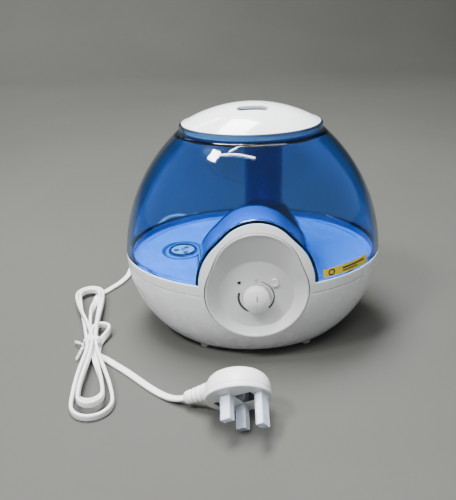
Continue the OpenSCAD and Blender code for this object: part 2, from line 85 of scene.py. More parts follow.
# The camera that the photograph's outlines give, in metres and degrees.
EYE = (-0.02221, -0.49208, 0.31342)
LENS, PITCH, ROLL = 42.93, 26.117, -1.764


# ---------- camera ----------

def add_object(name, data):
    made = bpy.data.objects.new(name, data)
    bpy.context.scene.collection.objects.link(made)
    return made


def make_camera():
    data = bpy.data.cameras.new("camera")
    data.lens = LENS
    data.sensor_width = 36
    data.clip_start, data.clip_end = 0.01, 50
    camera = add_object("camera", data)
    tilt = Matrix.Rotation(math.pi / 2 - math.radians(PITCH), 4, "X")
    camera.matrix_world = Matrix.Translation(EYE) @ tilt @ Matrix.Rotation(math.radians(ROLL), 4, "Z")
    bpy.context.scene.camera = camera


# ---------- mesh helpers ----------

def add_mesh(name, points, faces, material, sharp=35):
    """A smooth-shaded mesh from points in millimetres. Edges sharper than that angle stay crisp."""
    mesh = bpy.data.meshes.new(name)
    mesh.from_pydata([Vector(p) * MM for p in points], [], faces)
    piece = add_object(name, mesh)
    clean(piece)
    if material:
        mesh.materials.append(material)
    shade(piece, sharp)
    return piece


def clean(piece):
    """Welds doubled points and turns the faces outward."""
    made = bmesh.new()
    made.from_mesh(piece.data)
    bmesh.ops.remove_doubles(made, verts=made.verts, dist=1e-6)
    bmesh.ops.dissolve_degenerate(made, edges=made.edges, dist=1e-7)
    bmesh.ops.recalc_face_normals(made, faces=made.faces)
    made.to_mesh(piece.data)
    made.free()


def shade(piece, sharp=35):
    piece.data.shade_smooth()
    piece.data.set_sharp_from_angle(angle=math.radians(sharp))


def settle(piece):
    """Applies a piece's modifiers to its mesh."""
    bpy.context.view_layer.update()
    evaluated = piece.evaluated_get(bpy.context.evaluated_depsgraph_get())
    mesh = bpy.data.meshes.new_from_object(evaluated)
    piece.modifiers.clear()
    piece.data = mesh


def carve(piece, other, how="DIFFERENCE", sharp=35):
    """Cuts other from piece, joins it on, or keeps what they share. other is used up."""
    cut = piece.modifiers.new("cut", "BOOLEAN")
    cut.operation = how
    cut.solver = "MANIFOLD"
    cut.object = other
    settle(piece)
    bpy.data.objects.remove(other)
    while len(piece.data.materials) > 1:
        piece.data.materials.pop()
    for face in piece.data.polygons:
        face.material_index = 0
    shade(piece, sharp)


def paint(piece, material):
    """Gives a piece its one material."""
    piece.data.materials.clear()
    piece.data.materials.append(material)
    for face in piece.data.polygons:
        face.material_index = 0


def add_bevel(piece, width, steps, angle):
    """A bevel on edges sharper than angle, width in millimetres."""
    bevel = piece.modifiers.new("soften", "BEVEL")
    bevel.width = width * MM
    bevel.segments = steps
    bevel.limit_method = "ANGLE"
    bevel.angle_limit = math.radians(angle)


def soften(piece, width, steps=2, angle=40, sharp=35):
    """Rounds a piece's sharp edges for good."""
    add_bevel(piece, width, steps, angle)
    settle(piece)
    shade(piece, sharp)


def skin(rings, closed_ends=True, round_trip=False):
    """Faces between rings of equal count, listed ring after ring."""
    count, per = len(rings), len(rings[0])
    points = [p for ring in rings for p in ring]
    faces = []
    for i in range(count if round_trip else count - 1):
        below, above = i * per, ((i + 1) % count) * per
        for j in range(per):
            n = (j + 1) % per
            faces.append((below + j, below + n, above + n, above + j))
    if closed_ends and not round_trip:
        faces.append(tuple(range(per - 1, -1, -1)))
        faces.append(tuple((count - 1) * per + j for j in range(per)))
    return points, faces


def lathe(name, profile, material, squash=DEPTH, centre=(0.0, 0.0), steps=ROUND, closed=True, sharp=35):
    """Turns a profile of (radius, height) round a vertical axis, flattened front to back by squash.

    A closed profile joins its last point to its first. An open one gets a cap at both ends.
    """
    rings = []
    for radius, height in profile:
        ring = []
        for turn in circle(steps):
            x = centre[0] + radius * math.cos(turn)
            y = centre[1] + squash * radius * math.sin(turn)
            ring.append((x, y, height))
        rings.append(ring)
    points, faces = skin(rings, closed_ends=not closed, round_trip=closed)
    return add_mesh(name, points, faces, material, sharp)


def arc_r(z, arc, arc_z, inset=0.0):
    """Distance from the axis of the arc through the body's widest line, at height z."""
    centre = BODY_R - math.sqrt(arc ** 2 - (SEAM_Z - arc_z) ** 2)
    return centre + math.sqrt(max((arc - inset) ** 2 - (z - arc_z) ** 2, 0.0))


def dome_r(z, inset=0.0):
    return arc_r(z, DOME_ARC, DOME_ARC_Z, inset)


def bowl_r(z, inset=0.0):
    return arc_r(z, BOWL_ARC, BOWL_ARC_Z, inset)


def ladder(first, steps):
    """Faces of a strip whose points are listed in pairs across it."""
    return [(first + 2 * i, first + 2 * i + 1, first + 2 * i + 3, first + 2 * i + 2) for i in range(steps)]


def circle(count):
    """Angles that go evenly once round."""
    return [2 * math.pi * j / count for j in range(count)]


def between(a, b, steps):
    """Evenly spaced numbers from a to b, both included."""
    return [a + (b - a) * i / steps for i in range(steps + 1)]


def egg(shape, grow, count):
    """Evenly spaced points (x, z) of the outline of two circles and their tangents, from the bottom round."""
    (top_r, top_z), (low_r, low_z) = shape
    turn = math.asin((low_r - top_r) / (top_z - low_z))
    outline = []
    for k in range(721):
        way = math.radians(-90 + k / 2)
        high = math.sin(way) > math.sin(turn)
        radius, middle = (top_r, top_z) if high else (low_r, low_z)
        outline.append(((radius + grow) * math.cos(way), middle + (radius + grow) * math.sin(way)))
    gaps = [math.dist(a, b) for a, b in zip(outline, outline[1:])]
    total, result, k, gone = sum(gaps), [], 0, 0.0
    for i in range(count):
        wanted = total * i / count
        while gone + gaps[k] < wanted:
            gone += gaps[k]
            k += 1
        share = (wanted - gone) / gaps[k]
        a, b = outline[k], outline[k + 1]
        result.append((a[0] + (b[0] - a[0]) * share, a[1] + (b[1] - a[1]) * share))
    return result


def prism(shape, grow, y0, y1, count=180):
    """A bar along Y with the outline of two circles and their tangents."""
    rings = [[(x, y, z) for x, z in egg(shape, grow, count)] for y in (y0, y1)]
    points, faces = skin(rings)
    return add_mesh("cutter", points, faces, None)


def block(low, high):
    """A box between two corners."""
    xs, ys, zs = zip(low, high)
    ring = [(0, 0), (1, 0), (1, 1), (0, 1)]
    rings = [[(xs[i], ys[j], z) for i, j in ring] for z in zs]
    points, faces = skin(rings)
    return add_mesh("cutter", points, faces, None)


def rod(centre, direction, radius, length, name="cutter", material=None, steps=64, profile=None):
    """A turned bar from centre along direction. profile lists (share of radius, distance)."""
    axis = Vector(direction).normalized()
    side = axis.orthogonal().normalized()
    other = axis.cross(side)
    rings = []
    for share, along in profile or ((1, 0), (1, length)):
        middle = Vector(centre) + axis * along
        reach = share * radius
        rings.append([tuple(middle + side * (reach * math.cos(t)) + other * (reach * math.sin(t)))
                      for t in circle(steps)])
    points, faces = skin(rings)
    return add_mesh(name, points, faces, material)


# ---------- materials ----------

def shader_nodes(name):
    material = bpy.data.materials.new(name)
    material.use_nodes = True
    tree = material.node_tree
    tree.nodes.clear()
    output = tree.nodes.new("ShaderNodeOutputMaterial")
    surface = tree.nodes.new("ShaderNodeBsdfPrincipled")
    tree.links.new(surface.outputs["BSDF"], output.inputs["Surface"])
    return material, tree, surface, output


def noise(tree, scale, detail, stretch=(1, 1, 1)):
    """Noise in the object's own coordinates, with scale in features per metre."""
    place = tree.nodes.new("ShaderNodeTexCoord")
    mapping = tree.nodes.new("ShaderNodeMapping")
    mapping.inputs["Scale"].default_value = stretch
    texture = tree.nodes.new("ShaderNodeTexNoise")
    texture.inputs["Scale"].default_value = scale
    texture.inputs["Detail"].default_value = detail
    tree.links.new(place.outputs["Object"], mapping.inputs["Vector"])
    tree.links.new(mapping.outputs["Vector"], texture.inputs["Vector"])
    return texture.outputs["Fac"]


def ramp(tree, factor, ends):
    """Maps noise, which sits between 0.3 and 0.7, to two colours."""
    node = tree.nodes.new("ShaderNodeValToRGB")
    for element, position, colour in zip(node.color_ramp.elements, (0.3, 0.7), ends):
        element.position = position
        element.color = (*colour, 1)
    tree.links.new(factor, node.inputs["Fac"])
    return node.outputs["Color"]


def spread(tree, factor, low, high):
    """Maps noise, which sits between 0.3 and 0.7, to low and high."""
    node = tree.nodes.new("ShaderNodeMapRange")
    node.inputs["From Min"].default_value, node.inputs["From Max"].default_value = 0.3, 0.7
    node.inputs["To Min"].default_value, node.inputs["To Max"].default_value = low, high
    tree.links.new(factor, node.inputs["Value"])
    return node.outputs["Result"]


def bump(tree, surface, height, strength, depth):
    """Fine relief, with depth in millimetres."""
    node = tree.nodes.new("ShaderNodeBump")
    node.inputs["Strength"].default_value = strength
    node.inputs["Distance"].default_value = depth * MM
    tree.links.new(height, node.inputs["Height"])
    tree.links.new(node.outputs["Normal"], surface.inputs["Normal"])


def mottled(tree, surface, factor, colour, low, high):
    """Base colour that follows noise between two shares of colour."""
    ends = [tuple(min(1.0, c * share) for c in colour) for share in (low, high)]
    tree.links.new(ramp(tree, factor, ends), surface.inputs["Base Color"])


def uneven(tree, surface, factor, low, high):
    """Roughness that follows noise."""
    tree.links.new(spread(tree, factor, low, high), surface.inputs["Roughness"])


def plastic(name, colour, gloss=0.3, grain=900, depth=0.02, mottle=0.03, coat=0.0):
    """Moulded plastic: a faint mottle in its colour, uneven gloss and a fine mould texture."""
    material, tree, surface, _ = shader_nodes(name)
    mottled(tree, surface, noise(tree, 28, 4), colour, 1 - mottle, 1 + mottle)
    uneven(tree, surface, noise(tree, 60, 5), gloss * 0.85, gloss * 1.2)
    surface.inputs["IOR"].default_value = 1.5
    surface.inputs["Coat Weight"].default_value = coat
    surface.inputs["Coat Roughness"].default_value = 0.08
    bump(tree, surface, noise(tree, grain, 2), 0.35, depth)
    return material


def clear_plastic(name, tint, gloss=0.03, cloudy=0.0):
    """See-through moulded plastic that lets the lamps through, with a faint unevenness of its wall."""
    material, tree, surface, output = shader_nodes(name)
    mottled(tree, surface, noise(tree, 14, 3), tint, 0.97, 1.02)
    uneven(tree, surface, noise(tree, 40, 4), gloss * 0.7, gloss * 1.5)
    surface.inputs["Transmission Weight"].default_value = 1.0 - cloudy
    surface.inputs["IOR"].default_value = 1.49
    bump(tree, surface, noise(tree, 35, 2), 0.25, 0.05)
    path = tree.nodes.new("ShaderNodeLightPath")
    through = tree.nodes.new("ShaderNodeBsdfTransparent")
    through.inputs["Color"].default_value = (*(math.sqrt(c) for c in tint), 1)
    mix = tree.nodes.new("ShaderNodeMixShader")
    tree.links.new(path.outputs["Is Shadow Ray"], mix.inputs["Fac"])
    tree.links.new(surface.outputs["BSDF"], mix.inputs[1])
    tree.links.new(through.outputs["BSDF"], mix.inputs[2])
    tree.links.new(mix.outputs["Shader"], output.inputs["Surface"])
    return material


def metal(name, colour, gloss=0.3, stretch=(1, 1, 30)):
    """Metal with fine drawn lines along one direction."""
    material, tree, surface, _ = shader_nodes(name)
    lines = noise(tree, 700, 3, stretch)
    mottled(tree, surface, lines, colour, 0.86, 1.08)
    surface.inputs["Metallic"].default_value = 1.0
    uneven(tree, surface, lines, gloss * 0.8, gloss * 1.3)
    bump(tree, surface, lines, 0.3, 0.02)
    return material


def rubber(name, colour, gloss=0.7):
    material, tree, surface, _ = shader_nodes(name)
    dust = noise(tree, 120, 6)
    mottled(tree, surface, dust, colour, 0.85, 1.12)
    uneven(tree, surface, dust, gloss * 0.85, min(1.0, gloss * 1.2))
    bump(tree, surface, noise(tree, 1500, 2), 0.5, 0.05)
    return material


def circuit(name):
    """Green board with a grid of copper tracks under its lacquer."""
    material, tree, surface, _ = shader_nodes(name)
    place = tree.nodes.new("ShaderNodeTexCoord")
    tracks = tree.nodes.new("ShaderNodeTexBrick")
    tracks.inputs["Scale"].default_value = 220
    tracks.inputs["Mortar Size"].default_value = 0.06
    tracks.inputs["Color1"].default_value = (0.012, 0.11, 0.045, 1)
    tracks.inputs["Color2"].default_value = (0.010, 0.085, 0.035, 1)
    tracks.inputs["Mortar"].default_value = (0.05, 0.22, 0.08, 1)
    tree.links.new(place.outputs["Object"], tracks.inputs["Vector"])
    tree.links.new(tracks.outputs["Color"], surface.inputs["Base Color"])
    uneven(tree, surface, noise(tree, 90, 4), 0.25, 0.4)
    bump(tree, surface, tracks.outputs["Fac"], 0.3, 0.04)
    return material


make_camera()

WHITE = plastic("shell_white", (0.80, 0.805, 0.81), gloss=0.26, depth=0.015, coat=0.15)
# The panel is the white plastic painted a darker grey, as painted shade of its recessed dish, with a satin
# gloss.
PANEL_SHADED_WHITE = plastic("panel_satin_painted_shade", (0.68, 0.68, 0.685), gloss=0.38, grain=2200, depth=0.03)
KNOB_WHITE = plastic("knob_white", (0.84, 0.84, 0.84), gloss=0.34, grain=1500, depth=0.02)
LID_WHITE = plastic("lid_gloss", (0.80, 0.82, 0.84), gloss=0.14, depth=0.01, coat=0.5)
CORD_WHITE = plastic("lead_pvc", (0.80, 0.81, 0.80), gloss=0.42, grain=1100, depth=0.03)
PLUG_WHITE = plastic("plug_pvc", (0.80, 0.81, 0.80), gloss=0.36, grain=1400, depth=0.025)
TIE_WHITE = plastic("tie_coating", (0.72, 0.73, 0.73), gloss=0.45, grain=2500, depth=0.05)
DARK = plastic("dark_plastic", (0.018, 0.018, 0.02), gloss=0.45, grain=1800, depth=0.04, mottle=0.15)
BLACK_GLOSS = plastic("black_gloss", (0.012, 0.012, 0.014), gloss=0.18, mottle=0.2, coat=0.4)
CAP_WHITE = plastic("cap_white", (0.70, 0.71, 0.72), gloss=0.35)
STICKER = plastic("sticker_yellow", (0.82, 0.62, 0.02), gloss=0.4, mottle=0.05)
PRINT = plastic("grey_print", (0.035, 0.037, 0.04), gloss=0.5, mottle=0.1)
ORANGE = rubber("float_foam", (0.72, 0.24, 0.03), gloss=0.8)
GREY_RUBBER = rubber("grey_rubber", (0.17, 0.17, 0.17))
FOOT_RUBBER = rubber("foot_rubber", (0.42, 0.42, 0.40))
STEEL = metal("screw_steel", (0.58, 0.58, 0.57), gloss=0.32)
ALUMINIUM = metal("bare_aluminium", (0.72, 0.73, 0.75), gloss=0.38, stretch=(1, 30, 1))
PIN_PLATING = metal("pin_plating", (0.80, 0.81, 0.83), gloss=0.25)
DISC_BRASS = metal("disc_brass", (0.62, 0.44, 0.18), gloss=0.35, stretch=(1, 1, 1))
BOARD = circuit("circuit_board")
TANK_BLUE = clear_plastic("tank_blue", (0.22, 0.40, 0.64))
FLOOR_BLUE = clear_plastic("floor_blue", (0.34, 0.66, 0.96), gloss=0.05)
CHIMNEY_BLUE = clear_plastic("chimney_blue", (0.16, 0.34, 0.72))
SLEEVE_CLEAR = clear_plastic("sleeve_clear", (0.80, 0.85, 0.93), gloss=0.2, cloudy=0.4)
HUMP_BLUE = clear_plastic("hump_blue", (0.30, 0.54, 0.88))
REED_CLEAR = clear_plastic("reed_clear", (0.75, 0.88, 0.82))


# ---------- mains lead ----------

LEAD_W, LEAD_T = 6.0, 3.2
REAR_ROUTE = [
    (-46, 92, 18), (-47, 100, 15.5), (-48, 112, 10), (-50, 126, 5), (-52, 142, 2.2),
    (-54, 160, 1.7), (-56, 180, 1.7), (-59, 200, 1.7), (-64, 222, 1.7), (-71, 242, 1.7),
    (-82, 256, 1.7), (-94, 260, 1.7), (-107, 254, 1.7), (-116, 238, 1.7), (-121, 218, 1.7),
    (-124, 195, 1.7), (-127, 170, 1.7), (-129, 140, 1.7), (-131, 110, 1.7), (-133, 88, 1.7),
    (-139, 72, 1.7), (-149, 57, 1.7), (-158, 44, 1.7)]
PLUG_ROUTE = [
    (-140, -58, 1.7), (-132, -65, 1.7), (-122, -74, 1.7), (-111, -84, 1.7), (-100, -95, 1.7),
    (-89, -106, 1.7), (-80, -114, 1.9), (-72, -120, 2.8), (-65, -124, 4.8), (-58.3, -126.2, 7.2)]
TIE = Vector((-146, -48, 0))
UP_WAY = Vector((-21, 96, 0)).normalized()
DOWN_WAY = Vector((13, -73, 0)).normalized()
LOW, HIGH = 3.1, 9.4     # heights of the two layers of strands, which stand on edge


def at_hank(across, along, z, way):
    """A point of the bundle: across to the right of the tie, along away from it."""
    right = Vector((UP_WAY.y, -UP_WAY.x, 0)) if way is UP_WAY else Vector((-DOWN_WAY.y, DOWN_WAY.x, 0))
    point = TIE + right * across + way * along
    return (point.x, point.y, z)


def ease(t):
    t = max(0.0, min(1.0, t))
    return t * t * (3 - 2 * t)


def fold(way, start, end, middle, reach, radius, heights, hold=(0.0, 0.0)):
    """One pass of the lead out from the tie, round a fold and back.

    start and end are offsets at the tie, and middle is the fold's offset. heights are the lead's height at
    the tie, in the fold and back at the tie. hold is the share of each leg that keeps the tie's height.
    """
    straight = reach - radius
    side = 1 if end > start else -1
    points = []
    for t in (0.0, 0.18, 0.36, 0.54, 0.72, 0.88):
        across = start + (middle - side * radius - start) * ease(t)
        z = heights[0] + (heights[1] - heights[0]) * ease((t - hold[0]) / (1 - hold[0]))
        points.append(at_hank(across, straight * t, z, way))
    for a in between(180, 0, 8):
        turn = math.radians(a)
        across = middle + side * radius * math.cos(turn)
        points.append(at_hank(across, straight + radius * math.sin(turn), heights[1], way))
    for t in (0.88, 0.72, 0.54, 0.36, 0.18):
        across = end + (middle + side * radius - end) * ease(t)
        z = heights[2] + (heights[1] - heights[2]) * ease((t - hold[1]) / (1 - hold[1]))
        points.append(at_hank(across, straight * t, z, way))
    return points


def hank_route():
    """The lead's turns through the tie: in, three folds below, three above, and out."""
    points = [at_hank(4.5, 80, 2.0, UP_WAY), at_hank(0.5, 64, 2.6, UP_WAY), at_hank(-1.2, 45, LOW, UP_WAY),
              at_hank(-1.7, 22, LOW, UP_WAY)]
    points += fold(DOWN_WAY, -1.7, -5.1, -1.4, 75, 9.6, (LOW, LOW, LOW))
    points += fold(UP_WAY, -5.1, 1.7, 0.0, 98, 9.7, (LOW, 6.7, LOW))
    points += fold(DOWN_WAY, 1.7, -0.1, -0.6, 85, 9.6, (LOW, 8.6, HIGH))
    points += fold(UP_WAY, -0.1, 3.4, 0.0, 101.5, 13.1, (HIGH, 6.7, HIGH), hold=(0.45, 0.3))
    points += fold(DOWN_WAY, 3.4, -3.4, 0.0, 94, 16, (HIGH, LOW, HIGH), hold=(0.25, 0.4))
    points += fold(UP_WAY, -3.4, 5.1, 8.2, 28, 8, (HIGH, 7.4, LOW))
    return points + [at_hank(5.1, 0, LOW, UP_WAY)]


def smooth_route(points, step):
    """A Catmull-Rom curve through the points, resampled at about that step in millimetres."""
    pts = [Vector(p) for p in points]
    pts = [2 * pts[0] - pts[1], *pts, 2 * pts[-1] - pts[-2]]
    dense = []
    for p0, p1, p2, p3 in zip(pts, pts[1:], pts[2:], pts[3:]):
        pieces = max(4, int((p2 - p1).length / 0.8))
        for k in range(pieces):
            t = k / pieces
            dense.append(0.5 * ((2 * p1) + (p2 - p0) * t + (2 * p0 - 5 * p1 + 4 * p2 - p3) * t ** 2
                                + (3 * p1 - p0 - 3 * p2 + p3) * t ** 3))
    dense.append(pts[-2])
    result, gone = [dense[0]], 0.0
    for a, b in zip(dense, dense[1:]):
        gone += (b - a).length
        if gone >= step:
            result.append(b)
            gone = 0.0
    if (result[-1] - dense[-1]).length > step / 3:
        result.append(dense[-1])
    return result


def bulge(value, power):
    """value to that power, with its sign kept. Powers under one turn a circle into a rounded box."""
    return math.copysign(abs(value) ** power, value)


def lead_profile(count=24):
    """Section of the flat lead: two rounded cores side by side with a faint groove between them."""
    ring = []
    for turn in circle(count):
        wide = bulge(math.cos(turn), 0.75) * LEAD_W / 2
        thick = bulge(math.sin(turn), 0.6) * LEAD_T / 2
        thick *= 1 - 0.10 * math.exp(-(wide / 0.55) ** 2)
        ring.append((wide, thick))
    return ring


def edge_share(place, entry, leave):
    """0 where the lead lies flat and 1 where it stands on edge, by distance along it."""
    return ease((place - entry) / 45) * (1 - ease((place - leave) / 55))


def make_lead():
    """The flat mains lead, which turns onto its edge in the bundle."""
    route = REAR_ROUTE + hank_route() + PLUG_ROUTE
    line = smooth_route(route, 2.4)
    reached = [0.0]
    for a, b in zip(line, line[1:]):
        reached.append(reached[-1] + (b - a).length)
    entry_point, leave_point = Vector(REAR_ROUTE[-1]), Vector(PLUG_ROUTE[0])
    entry = min(range(len(line) // 2), key=lambda i: (line[i] - entry_point).length)
    leave = min(range(len(line) // 2, len(line)), key=lambda i: (line[i] - leave_point).length)
    rings = []
    for i, point in enumerate(line):
        way = (line[min(i + 1, len(line) - 1)] - line[max(i - 1, 0)]).normalized()
        side = way.cross(Vector((0, 0, 1))).normalized()
        up = side.cross(way)
        turn = math.pi / 2 * edge_share(reached[i], reached[entry], reached[leave] - 40)
        wide_way = side * math.cos(turn) + up * math.sin(turn)
        thick_way = up * math.cos(turn) - side * math.sin(turn)
        rings.append([tuple(point + wide_way * w + thick_way * t) for w, t in lead_profile()])
    points, faces = skin(rings)
    lead = add_mesh("mains_lead", points, faces, CORD_WHITE, sharp=60)
    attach(lead, "base")
    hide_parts("lead_from_base", "lead_hank", "lead_to_plug")
    return lead, line, reached[-1]


# ---------- base ----------

def keep(piece, body, slot, *nodes):
    """Puts a finished piece on its body, with its shading led by its broad faces."""
    even = piece.modifiers.new("even_shading", "WEIGHTED_NORMAL")
    even.keep_sharp = True
    even.weight = 80
    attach(piece, body)
    if nodes:
        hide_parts(*nodes)
    return piece


def make_lower_shell():
    """White bowl: a thin floor with vents and screw wells, and a wall open at the front."""
    bottom, top, wall = 3.0, BELT_Z - BELT_GAP, WALL
    outer = [(bowl_r(z), z) for z in between(bottom + 1.6, top - 0.7, 44)]
    inner = [(bowl_r(z, wall), z) for z in between(bottom + 5, top, 30)]
    profile = [(HUB_R, bottom), (bowl_r(bottom + 1.6) - 3.6, bottom),
               (bowl_r(bottom + 1.6) - 1.6, bottom + 0.3), *outer,
               (bowl_r(top) - 0.25, top - 0.2), (bowl_r(top) - 0.8, top), *reversed(inner),
               (bowl_r(bottom + 5, wall) - 4, bottom + 2.6), (HUB_R, bottom + 2.6)]
    shell = lathe("lower_shell", profile, WHITE, closed=False)
    carve(shell, prism(PANEL, PANEL_GAP, FRONT_Y, -40))
    for i in range(-3, 4):
        carve(shell, block((18.3 + i * 8, -17, -1), (21.7 + i * 8, 17, 9)))
    for x, y in ((-60, -34), (-60, 34), (60, -34), (60, 34)):
        carve(shell, rod((x, y, 5), UP, 5, 32), how="UNION")
        carve(shell, rod((x, y, 1), UP, 3.6, 25))
    slope = math.radians(6)
    carve(shell, rod((-46, 40, 21), (0, math.cos(slope), -math.sin(slope)), 4.6, 50))
    keep(shell, "base", "white_shell", "base_lower_shell")


def make_arch_wall():
    """The white hood over the panel: fills the arch with the body's own outer form."""
    outer = [(dome_r(z), z) for z in between(SEAM_Z, HOOD_TOP, 50)]
    low = [(bowl_r(z), z) for z in between(BELT_Z + BELT_GAP, SEAM_Z, 8)]
    profile = [(HUB_R, BELT_Z + BELT_GAP), *low, *outer[1:], (HUB_R, HOOD_TOP)]
    solid = lathe("arch_hood", profile, WHITE, closed=False)
    carve(solid, prism(ARCH, 0.0, FRONT_Y, HOUSING_Y, 240), how="INTERSECT")
    carve(solid, prism(ARCH, -WALL, -60, -43.2, 240))
    carve(solid, prism(PANEL, PANEL_GAP, FRONT_Y, PANEL_BACK))
    room_low = [(bowl_r(z, WALL), z) for z in between(60, SEAM_Z, 8)]
    room_high = [(dome_r(z, WALL), z) for z in between(SEAM_Z, HOOD_TOP, 40)]
    hood = lathe("hood_room", [(HUB_R, 60), *room_low, *room_high[1:], (HUB_R, HOOD_TOP)], None, closed=False)
    carve(hood, prism(ARCH, -WALL, FRONT_Y, -50, 240), how="INTERSECT")
    carve(solid, hood)
    soften(solid, 0.5)
    keep(solid, "base", "white_shell")


def make_upper_ring():
    """White band between the belt line and the tank, with the deck and the water trough."""
    outer = [(bowl_r(z), z) for z in between(BELT_Z + 0.8, SEAM_Z - 0.7, 12)]
    profile = [(HUB_R, BELT_Z + BELT_GAP), (bowl_r(BELT_Z) - 0.8, BELT_Z + BELT_GAP),
               (bowl_r(BELT_Z) - 0.25, BELT_Z + 0.3), *outer,
               (BODY_R - 0.25, SEAM_Z - 0.2), (BODY_R - 0.9, SEAM_Z), (BODY_R - 2.5, SEAM_Z),
               (bowl_r(72, WALL) + 0.2, 72), (bowl_r(71, WALL) - 1, 70.4), (HUB_R, 70.4)]
    ring = lathe("upper_ring", profile, WHITE, closed=False)
    carve(ring, prism(ARCH, 0.1, FRONT_Y, HOUSING_Y, 240))
    carve(ring, prism(PANEL, PANEL_GAP, FRONT_Y, PANEL_BACK))
    well = rod((*WELL, 46), UP, 24, 40)
    carve(well, rod((*SUMP, 58), UP, 19.5, 28), how="UNION")
    carve(well, block((SUMP[0], -10, 58), (10, 14, 86)), how="UNION")
    cup = rod((*WELL, 44), UP, 26, 26.4)
    carve(cup, rod((*SUMP, 56), UP, 21.5, 14.4), how="UNION")
    carve(cup, block((SUMP[0], -12, 56), (10, 16, 70.4)), how="UNION")
    carve(ring, cup, how="UNION")
    for x, y, height in ((-31, 2, 20.2), (*SUMP, 10.6)):
        carve(well, rod((x, y, 50), UP, 2.4, height))
    carve(ring, well)
    carve(ring, rod((*WELL, 40), UP, 8.4, 10))
    soften(ring, 0.5)
    keep(ring, "base", "white_shell", "base_upper_shell")


def make_panel():
    """Recessed panel: a rim flush with the body, walls that slope in to a flat disc, and control holes."""
    count = 240
    turns = [math.radians(-90 + 360 * j / count) for j in range(count)]
    disc = [(DISH_R * math.cos(turn), DISH_Z + DISH_R * math.sin(turn)) for turn in turns]

    def ring(grow, depth, share=0.0, shrink=0.0):
        """The rim's outline grown, and moved a share of the way to the disc's outline shrunk by shrink."""
        rim = egg(PANEL, grow, count)
        scale = (DISH_R - shrink) / DISH_R
        return [(a[0] + (b[0] * scale - a[0]) * share, PANEL_Y + depth,
                 a[1] + (DISH_Z + (b[1] - DISH_Z) * scale - a[1]) * share) for a, b in zip(rim, disc)]

    lip = [(-0.25, 6.5), (-0.25, 0.45), (-0.45, 0.1), (-0.9, 0.0), (-1.5, 0.0), (-2.0, 0.15), (-2.3, 0.55)]
    rings = [ring(grow, depth) for grow, depth in lip]
    rings += [ring(-2.3, 0.55 + 7.6 * t, t * 0.93) for t in between(0.12, 1, 6)]
    rings += [ring(-2.3, 8.55, 0.97), ring(0, 8.85, 1, 0.0), ring(0, 8.98, 1, 0.8)]
    rings += [ring(0, 9.0, 1, 2.0), ring(0, 9.0, 1, 14)]
    back = [ring(0, 11.0, 1, 14), ring(0, 11.0, 1, -1.5)]
    back += [ring(-2.3, 2.7 + 7.6 * t, t * 0.9) for t in between(1, 0.3, 3)] + [ring(-2.4, 6.5)]
    points, faces = skin(rings, closed_ends=False)
    points_b, faces_b = skin(back, closed_ends=False)
    start = len(points)
    faces += [tuple(i + start for i in face) for face in faces_b]
    points += points_b
    faces.append(tuple((len(rings) - 1) * count + j for j in range(count)))
    faces.append(tuple(start + j for j in range(count - 1, -1, -1)))
    last = start + (len(back) - 1) * count
    faces += [(j, (j + 1) % count, last + (j + 1) % count, last + j) for j in range(count)]
    # The panel's darker grey is painted shade on white plastic.
    panel = add_mesh("control_panel", points, faces, PANEL_SHADED_WHITE, sharp=50)
    carve(panel, rod((0, DISH_Y - 3, KNOB_Z), BACK, KNOB_R + 0.6, 3.9, steps=128), sharp=50)
    carve(panel, rod((0, DISH_Y - 1, KNOB_Z), BACK, 3.6, 6), sharp=50)
    carve(panel, rod((LED[0], DISH_Y - 1, LED[1]), BACK, 1.6, 6), sharp=50)
    carve(panel, rod((BUTTON[0], DISH_Y - 1, BUTTON[1]), BACK, 3.7, 6), sharp=50)
    keep(panel, "base", "panel_white", "front_panel")


def make_knob():
    """Domed knob with fine upright ribs over its face and a short pointer line near the top."""
    rounds, spokes = 44, 192
    centre_y = DISH_Y + 0.5

    def height(r):
        return math.sqrt(20.5 ** 2 - r * r) - 9.5

    rings = []
    for i in range(1, rounds + 1):
        r = KNOB_R * (i / rounds)
        ring = []
        for turn in circle(spokes):
            x, z = r * math.cos(turn), r * math.sin(turn)
            edge = max(0.0, min(1.0, (KNOB_R - 0.9 - r) / 0.8))
            rise = height(r) - 0.3 * ease(edge) * (0.5 - 0.5 * math.cos(2 * math.pi * x / 1.4))
            if r > KNOB_R - 0.9:
                rise -= 0.9 - math.sqrt(max(0.0, 0.81 - (r - KNOB_R + 0.9) ** 2))
            ring.append((x, centre_y - rise, KNOB_Z + z))
        rings.append(ring)
    rings.append([(x, centre_y, z) for x, _, z in rings[-1]])
    points, faces = skin(rings, closed_ends=False)
    tip, rim = len(points), rounds * spokes
    points.append((0, centre_y - height(0), KNOB_Z))
    faces += [(tip, (j + 1) % spokes, j) for j in range(spokes)]
    faces.append(tuple(rim + j for j in range(spokes)))
    knob = add_mesh("dial_knob", points, faces, KNOB_WHITE, sharp=50)
    keep(knob, "knob", "knob_white", "control_knob")
    line = []
    for t in between(1.6, 6.4, 6):
        for x in (-0.32, 0.32):
            line.append((x, centre_y - height(t) - 0.06, KNOB_Z + t))
    pointer = add_mesh("dial_pointer", line, ladder(0, 6), PRINT)
    thicken(pointer, 0.08)
    keep(pointer, "knob", "dark_parts")


def thicken(piece, depth):
    """Gives a thin printed or stuck-on piece a closed body, depth in millimetres."""
    solid = piece.modifiers.new("solid", "SOLIDIFY")
    solid.thickness = depth * MM
    solid.offset = 0
    settle(piece)
    clean(piece)
    shade(piece)


